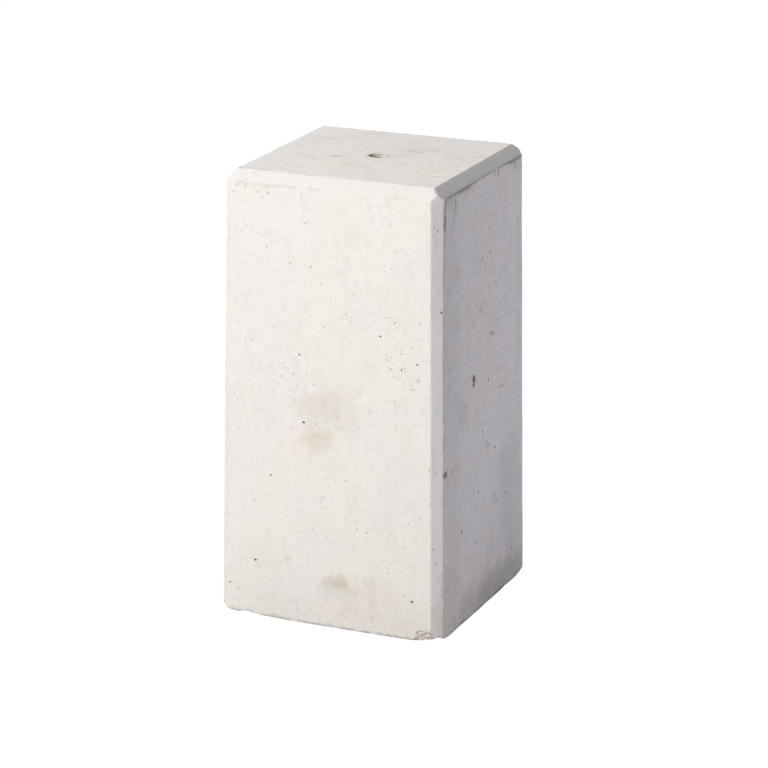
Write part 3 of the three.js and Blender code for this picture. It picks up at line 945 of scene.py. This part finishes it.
def makeSleeve():
    segments, bottom, shoulder = sleeve["segments"], sleeveBottom, sleeveBottom + sleeve["collarHeight"]
    angles = 2 * math.pi * np.arange(segments) / segments
    floor = height - sleeve["threadDepth"] - sleeve["runOut"]
    depths = np.arange(0, sleeve["threadDepth"] + 1e-6, sleeve["pitch"] / sleeve["rowsPerPitch"])
    rows = [(collarRadius, bottom), (collarRadius, shoulder), (sleeve["radius"], shoulder),
            (sleeve["radius"], height)]
    rings = [np.full(segments, radius) for radius, _ in rows]
    heights = [z for _, z in rows]
    for depth in depths:
        rings.append(threadRadius(np.full(segments, height - depth), angles))
        heights.append(height - depth)
    rings.append(rings[-1])
    heights.append(floor)
    points = [(0, 0, bottom)]
    for radii, z in zip(rings, heights):
        points += [(r * math.cos(a), r * math.sin(a), z) for r, a in zip(radii, angles)]
    points.append((0, 0, floor))
    faces = []
    for k in range(segments):
        n = (k + 1) % segments
        faces.append((0, 1 + n, 1 + k))
        for row in range(len(rings) - 1):
            a, b = 1 + row * segments, 1 + (row + 1) * segments
            faces.append((a + k, a + n, b + n, b + k))
        last = 1 + (len(rings) - 1) * segments
        faces.append((last + k, last + n, len(points) - 1))
    mesh = bpy.data.meshes.new("threadedSleeve")
    mesh.from_pydata([[c * mm for c in p] for p in points], [], faces)
    mesh.materials.append(zincPlatedSteel())
    mesh.materials.append(cementFilm())
    filmed = []
    for face in mesh.polygons:
        corners = [mesh.vertices[v].co / mm for v in face.vertices]
        high = max(corner.z for corner in corners) > height - sleeve["filmDepth"]
        radius = sum(corner.xy.length for corner in corners) / len(corners)
        filmed.append(high and radius < sleeve["filmRadius"])
    mesh.polygons.foreach_set("material_index", np.array(filmed, dtype=np.int32))
    mesh.validate()
    print("sleeve meshed:", len(mesh.polygons), "faces")
    return addObject("threadedSleeve", mesh)


# Materials

def startMaterial(name):
    # a material with empty nodes, and a place in millimetres on the object for its patterns
    material = bpy.data.materials.new(name)
    material.use_nodes = True
    tree = material.node_tree
    tree.nodes.clear()
    place = addNode(tree, "TexCoord", {}, {}).outputs["Object"]
    place = addNode(tree, "VectorMath", {"operation": "SCALE"}, {0: place, "Scale": 1 / mm})
    return material, tree, place


castConcreteLook = {
    "colour": "e0dcd6",
    "cool": "dcdadb",  # bluish and smoother where the mould's oil lay thin
    "warm": "dcd6cb",
    "grey": "c6c2bd",  # fines washed thin, so that the sand shows
    "sandGrey": "bab5ad",
    "stripTint": "dad7d3",
    "cornerTint": "e9e6e4",  # a paler tone, on the front-right corner chamfer only
    # painted shade as well as dirt: the colour of the dark marks, the spall's hollows and the dots of
    # small pinholes
    "dirtAndShade": "69635e",
    "earthStain": "b9a68b",
    # real grime, and painted shade where the grey strokes stand in for it
    "grimeAndShade": "a3a19b",
    # painted shade on the pinholes' walls and floors
    "pit": "3b3632",
    "fresh": "cdc6bb",
    "footTone": "c5b9ac",
    # cloudy patterns: how wide their lumps are in mm, how fine their detail, their squeeze upright
    "patterns": {
        "cloud": (75.0, 3.0, 1.0),
        "patch": (26.0, 4.0, 1.0),
        "blotch": (5.5, 4.0, 1.0),
        "streak": (7.0, 3.0, 0.09),
        "sand": (1.5, 3.0, 1.0),  # fine sand is 0.2 to 0.5 mm; it is drawn coarser, so that it shows
    },
    # tones laid over each other: pattern, where it starts and where it is full, most of the tone
    "tones": [
        ("cool", "cloud", 0.58, 0.36, 0.7),
        ("warm", "patch", 0.44, 0.66, 0.45),
        ("grey", "streak", 0.45, 0.75, 0.11),
        ("grey", "blotch", 0.46, 0.72, 0.36),
        ("sandGrey", "sand", 0.5, 0.74, 0.4),
    ],
    "stripShare": 0.62,
    "cornerShare": 0.7,
    "specksApart": 3.3,  # millimetres between the pinholes that are too small for the mesh, drawn as dots of painted shade
    "speckRadius": 0.18,  # of the widest, as a share of that; real ones are finer and wouldn't show
    "speckShare": 0.66,
    # a darker, warmer tone that grows towards the foot: over this height, with this share
    "footHeight": 64.0,
    "footShare": 0.185,
    "roughness": (0.8, 0.92),  # where the mould's oil lay thin, and elsewhere
    "relief": 0.45,  # millimetres
}


def castConcrete():
    # pale Portland cement concrete, cast against steel forms: matt, nearly white, faintly mottled,
    # full of fine pinholes, with denser strips where the chamfer fillets pressed on it
    look = castConcreteLook
    material, tree, place = startMaterial("castConcrete")
    names = ("weathered", "strip", "pale", "grimeAndShade", "brown", "fresh", "dark", "pitShade")
    stored = {}
    for name in names:
        stored[name] = addNode(tree, "Attribute", {"attribute_name": name}, {}).outputs["Fac"]
    patterns = {}
    for name, (size, detail, squeeze) in look["patterns"].items():
        spread = addNode(tree, "VectorMath", {"operation": "MULTIPLY"},
                         {0: place, 1: (1 / size, 1 / size, squeeze / size)})
        patterns[name] = addNode(tree, "TexNoise", {},
                                 {"Vector": spread, "Scale": 1.0, "Detail": detail, "Roughness": 0.6})

    # the tones that the weather brings out
    times, minus, blend = {"operation": "MULTIPLY"}, {"operation": "SUBTRACT"}, {"data_type": "RGBA"}
    colour = linear(look["colour"])
    for tone, pattern, start, full, most in look["tones"]:
        share = addNode(tree, "MapRange", {"interpolation_type": "SMOOTHSTEP"},
                        {0: patterns[pattern], 1: start, 2: full, 3: 0.0, 4: most})
        share = addNode(tree, "Math", times, {0: share, 1: stored["weathered"]})
        colour = addNode(tree, "Mix", blend, {0: share, 6: colour, 7: linear(look[tone])}).outputs[2]

    # darker and warmer towards the foot, and painted shade: pinholes too small for the mesh as dark dots
    # of many sizes
    heightMm = addNode(tree, "SeparateXYZ", {}, {0: place}).outputs[2]
    foot = addNode(tree, "MapRange", {"interpolation_type": "SMOOTHSTEP"},
                   {0: heightMm, 1: 0.0, 2: look["footHeight"], 3: look["footShare"], 4: 0.0})
    mottle = addNode(tree, "MapRange", {"interpolation_type": "SMOOTHSTEP"},
                     {0: patterns["blotch"], 1: 0.35, 2: 0.68, 3: 0.35, 4: 1.0})
    lowerTone = addNode(tree, "Math", times, {0: foot, 1: mottle})
    pressed = addNode(tree, "Math", times, {0: stored["strip"], 1: look["stripShare"]})
    cornerPaling = addNode(tree, "Math", times, {0: stored["pale"], 1: look["cornerShare"]})
    cells = addNode(tree, "TexVoronoi", {}, {"Vector": place, "Scale": 1 / look["specksApart"]})
    pick = addNode(tree, "SeparateColor", {}, {0: cells.outputs["Color"]})
    # half of the cells have a dot
    wide = addNode(tree, "MapRange", {}, {0: pick, 1: 0.5, 2: 1.0, 3: -0.02, 4: look["speckRadius"]})
    within = addNode(tree, "Math", minus, {0: wide, 1: cells.outputs["Distance"]})
    speck = addNode(tree, "MapRange", {}, {0: within, 1: 0.0, 2: 0.05, 3: 0.0, 4: look["speckShare"]})
    speckled = addNode(tree, "Math", times, {0: speck, 1: stored["weathered"]})

    # painted shade among these layers: the dark marks and the dots of small pinholes, part of the grey
    # strokes, and the pinholes' floors
    layers = [
        (pressed, "stripTint"), (cornerPaling, "cornerTint"), (lowerTone, "footTone"), (speckled, "dirtAndShade"),
        (stored["grimeAndShade"], "grimeAndShade"), (stored["brown"], "earthStain"), (stored["fresh"], "fresh"),
        (stored["dark"], "dirtAndShade"), (stored["pitShade"], "pit"),
    ]
    for share, tone in layers:
        colour = addNode(tree, "Mix", blend, {0: share, 6: colour, 7: linear(look[tone])}).outputs[2]

    oiled, dry = look["roughness"]
    roughness = addNode(tree, "MapRange", {}, {0: patterns["cloud"], 1: 0.36, 2: 0.58, 3: oiled, 4: dry})
    relief = addNode(tree, "Math", minus, {0: patterns["sand"], 1: speck})
    bump = addNode(tree, "Bump", {},
                   {"Strength": 0.5, "Distance": look["relief"] * mm, "Height": relief})
    shader = addNode(tree, "BsdfPrincipled", {},
                     {"Base Color": colour, "Roughness": roughness, "IOR": 1.5, "Normal": bump})
    addNode(tree, "OutputMaterial", {}, {"Surface": shader})
    return material


cementFilmLook = {
    "colour": "d9d5ce",
    "shade": "b9b3aa",
    "sandSize": 1.6,
    "roughness": 0.9,
    "relief": 0.2,  # millimetres
}


def cementFilm():
    # cement paste that floated over the sleeve's rim and its first turns: matt, pale and thin
    look = cementFilmLook
    material, tree, place = startMaterial("cementFilm")
    sand = addNode(tree, "TexNoise", {},
                   {"Vector": place, "Scale": 1 / look["sandSize"], "Detail": 3.0, "Roughness": 0.6})
    share = addNode(tree, "MapRange", {}, {0: sand, 1: 0.42, 2: 0.66})
    colour = addNode(tree, "Mix", {"data_type": "RGBA"},
                     {0: share, 6: linear(look["colour"]), 7: linear(look["shade"])})
    bump = addNode(tree, "Bump", {},
                   {"Strength": 0.5, "Distance": look["relief"] * mm, "Height": sand})
    shader = addNode(tree, "BsdfPrincipled", {},
                     {"Base Color": colour.outputs[2], "Roughness": look["roughness"], "IOR": 1.5,
                      "Normal": bump})
    addNode(tree, "OutputMaterial", {}, {"Surface": shader})
    return material


zincLook = {
    "colour": "8f8d89",
    "white": "b3b0aa",  # the dull white bloom that zinc gets outdoors
    "bloomSize": 2.5,
    "metallic": (1.0, 0.3),  # of the bare plate, and where the bloom covers it
    "roughness": (0.5, 0.85),
}


def zincPlatedSteel():
    # low-carbon steel, turned and threaded, then zinc plated: grey, gone dull, no clear reflections
    look = zincLook
    material, tree, place = startMaterial("zincPlatedSteel")
    cloudy = addNode(tree, "TexNoise", {},
                     {"Vector": place, "Scale": 1 / look["bloomSize"], "Detail": 4.0, "Roughness": 0.6})
    bloom = addNode(tree, "MapRange", {}, {0: cloudy, 1: 0.38, 2: 0.62})
    colour = addNode(tree, "Mix", {"data_type": "RGBA"},
                     {0: bloom, 6: linear(look["colour"]), 7: linear(look["white"])})
    metallic, roughness = (addNode(tree, "MapRange", {}, {0: bloom, 3: look[name][0], 4: look[name][1]})
                           for name in ("metallic", "roughness"))
    shader = addNode(tree, "BsdfPrincipled", {},
                     {"Base Color": colour.outputs[2], "Metallic": metallic,
                      "Roughness": roughness})
    addNode(tree, "OutputMaterial", {}, {"Surface": shader})
    return material


# Studio

studio = {
    "floorSize": 30.0,  # metres
    "floorDrop": 0.1,  # millimetres that the paper lies under the block
    "aimAt": (0, 0, 0.2),
    "skyStrength": 0.22,
    "skyColour": "fdfcff",
    "paper": "cacaca",
    "paperGlow": 0.93,  # the share of the paper's brightness, to the eye, that comes from behind it
    "paperWhite": "fffeff",
    "paperStrength": 1.07,
    # soft boxes: place, width and height in metres, watts, colour
    "key": ((-0.65, -2.06, 1.64), 1.2, 1.2, 63.6, "fffefd"),
    "topLight": ((-2.14, 1.43, 2.26), 1.43, 1.43, 60.2, "fffeff"),
    "fill": ((1.15, 1.2, 0.35), 1.3, 0.34, 10.5, "eae7ff"),
}


def addSoftBox(name):
    place, width, tall, power, colour = studio[name]
    data = bpy.data.lights.new(name, "AREA")
    data.shape = "RECTANGLE"
    data.size = width
    data.size_y = tall
    data.energy = power
    data.color = linear(colour)[:3]
    lamp = addObject(name, data)
    lamp.location = place
    lamp.rotation_euler = (Vector(place) - Vector(studio["aimAt"])).to_track_quat("Z", "Y").to_euler()


def makeStudio():
    world = bpy.data.worlds.new("studioWorld")
    world.use_nodes = True
    tree = world.node_tree
    tree.nodes.clear()
    seen = addNode(tree, "LightPath", {}, {}).outputs["Is Camera Ray"]
    light = addNode(tree, "Background", {},
                    {"Color": linear(studio["skyColour"]), "Strength": studio["skyStrength"]})
    backdrop = addNode(tree, "Background", {}, {"Color": linear(studio["paperWhite"])})
    both = addNode(tree, "MixShader", {}, {0: seen, 1: light, 2: backdrop})
    addNode(tree, "OutputWorld", {}, {"Surface": both})
    bpy.context.scene.world = world

    half = studio["floorSize"] / 2
    mesh = bpy.data.meshes.new("paperFloor")
    corners = [(x * half, y * half, 0) for x, y in ((-1, -1), (1, -1), (1, 1), (-1, 1))]
    mesh.from_pydata(corners, [], [(0, 1, 2, 3)])
    floor = addObject("paperFloor", mesh)
    floor.location.z = -studio["floorDrop"] * mm
    paper = bpy.data.materials.new("litPaper")
    paper.use_nodes = True
    tree = paper.node_tree
    tree.nodes.clear()
    seen = addNode(tree, "LightPath", {}, {}).outputs["Is Camera Ray"]
    share = addNode(tree, "Math", {"operation": "MULTIPLY"}, {0: seen, 1: studio["paperGlow"]})
    matt = addNode(tree, "BsdfDiffuse", {}, {"Color": linear(studio["paper"])})
    glow = addNode(tree, "Emission", {},
                   {"Color": linear(studio["paperWhite"]), "Strength": studio["paperStrength"]})
    both = addNode(tree, "MixShader", {}, {0: share, 1: matt, 2: glow})
    addNode(tree, "OutputMaterial", {}, {"Surface": both})
    mesh.materials.append(paper)

    for name in ("key", "topLight", "fill"):
        addSoftBox(name)
    bpy.context.scene.view_settings.view_transform = "Standard"
    print("studio lit")


# Camera

view = {
    "azimuth": 23.09,  # degrees round from straight in front, towards the right side
    "elevation": 17.0,
    "distance": 2.910,
    "aimHeight": 0.1937,
    "aside": 0.0070,  # the photograph frames the block this far left of its middle
    "below": 0.0009,
    "roll": 0.185,
    "lens": 154.05,
    "sensorWidth": 36.0,
}


def makeCamera():
    azimuth, elevation, roll = (math.radians(view[name]) for name in ("azimuth", "elevation", "roll"))
    out = math.cos(elevation)
    back = Vector((math.sin(azimuth) * out, -math.cos(azimuth) * out, math.sin(elevation)))
    right = Vector((math.cos(azimuth), math.sin(azimuth), 0))
    up = back.cross(right)
    aim = Vector((0, 0, view["aimHeight"]))
    eye = aim + back * view["distance"]
    toward = (aim + right * view["aside"] - up * view["below"] - eye).normalized()
    right = toward.cross(up).normalized()
    up = right.cross(toward)
    right, up = right * math.cos(roll) + up * math.sin(roll), up * math.cos(roll) - right * math.sin(roll)
    data = bpy.data.cameras.new("photoCamera")
    data.lens = view["lens"]
    data.sensor_width = view["sensorWidth"]
    camera = addObject("photoCamera", data)
    turn = Matrix((right, up, -toward)).transposed().to_4x4()
    camera.matrix_world = Matrix.Translation(eye) @ turn
    bpy.context.scene.camera = camera
    print("camera placed")


makeCamera()
makeStudio()

concrete = castConcrete()
blockPiece = makeBlock()
blockPiece.data.materials.append(concrete)
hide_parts("concrete_block")
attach(blockPiece, "root")

sleevePiece = makeSleeve()
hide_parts("threaded_sleeve")
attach(sleevePiece, "root")

print("pieces placed")
